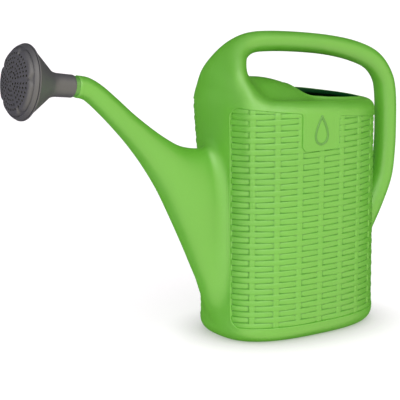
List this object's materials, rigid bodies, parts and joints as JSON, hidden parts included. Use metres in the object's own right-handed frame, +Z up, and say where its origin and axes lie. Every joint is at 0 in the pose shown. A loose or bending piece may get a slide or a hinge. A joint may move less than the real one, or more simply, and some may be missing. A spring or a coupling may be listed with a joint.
{
  "type": "watering can",
  "caption": "Oval moulded watering can with a loop handle, a hooded filling mouth, a long rising spout and a push-on sprinkler rose.",
  "frame": {"origin": "centre of the tank's flat base, on the surface that it stands on", "axes": "+Z up, -X along the spout, +X towards the handle's rear leg; the can is symmetric about the plane y = 0"},
  "size_m": [0.5483, 0.1738, 0.3813],
  "materials": {
    "can_plastic": "satin bright green blow-moulded polyethylene",
    "rose_plastic": "matt charcoal injection-moulded plastic"
  },
  "bodies": {
    "can": {"tank": "can_plastic", "spout": "can_plastic", "handle_neck": "can_plastic", "handle_bar": "can_plastic", "handle_leg": "can_plastic"},
    "rose": {"rose_cone": "rose_plastic"},
    "rose_plate": {"rose_face": "rose_plastic"}
  },
  "joints": [
    {"name": "rose_pull_off", "type": "slide", "parent": "can", "child": "rose", "axis": [-0.9877, 0, 0.1564], "range_m": [0, 0.04]},
    {"name": "rose_turn", "type": "hinge", "parent": "rose", "child": "rose_plate", "pos_m": [-0.2919, 0, 0.3277], "axis": [-0.9877, 0, 0.1564], "continuous": true}
  ]
}
